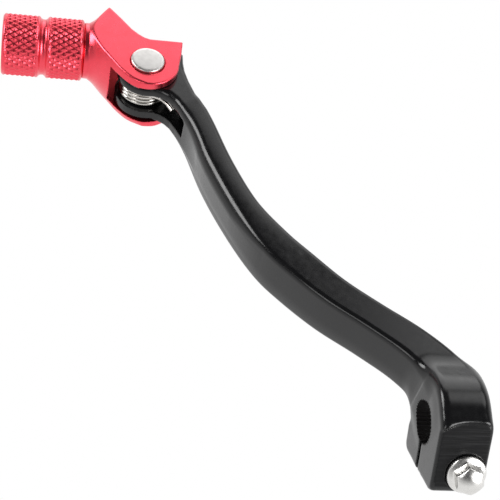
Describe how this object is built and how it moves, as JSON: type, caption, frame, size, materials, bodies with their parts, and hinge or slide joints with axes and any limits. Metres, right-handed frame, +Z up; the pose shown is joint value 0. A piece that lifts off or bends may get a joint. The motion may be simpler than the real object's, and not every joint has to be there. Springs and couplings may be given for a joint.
{
  "type": "gear shift lever",
  "caption": "Forged motorcycle gear shift lever with a splined pinch clamp, an S-shaped arm and a sprung folding toe piece with a knurled peg.",
  "frame": {"origin": "on the shift shaft's axis, in the clamp's outboard face", "axes": "+X forward from the shaft to the toe piece, +Y outboard along the shaft's axis, +Z up along the toe piece's pivot pin"},
  "size_m": [0.1841, 0.1503, 0.035],
  "materials": {
    "gloss_black": "gloss black coating over forged aluminium, bare machined bolt seat",
    "red_anodise": "red anodised, satin, knurled peg",
    "bright_steel": "bright zinc or stainless, polished",
    "dark_steel": "black oxide",
    "spring_steel": "drawn wire, bright",
    "bronze": "sintered bronze"
  },
  "bodies": {
    "lever": {"lever_arm": "gloss_black", "clamp_bolt": "bright_steel", "upper_bush": "bronze", "lower_bush": "bronze", "spring_collar": "bright_steel", "return_spring": "spring_steel"},
    "toe_piece": {"tip_body": "red_anodise", "knurled_peg": "red_anodise", "peg_screw": "dark_steel", "peg_lock_washer": "spring_steel", "pivot_pin": "bright_steel", "pin_washer": "bright_steel", "retaining_ring": "dark_steel"}
  },
  "joints": [
    {"name": "toe_fold", "type": "hinge", "parent": "lever", "child": "toe_piece", "pos_m": [0.132, 0.083, 0.0024], "axis": [0, 0, 1], "range_deg": [0, 90], "stiffness_Nm_per_rad": 0.25, "springref_deg": -20.05, "deforming": ["return_spring"]}
  ]
}
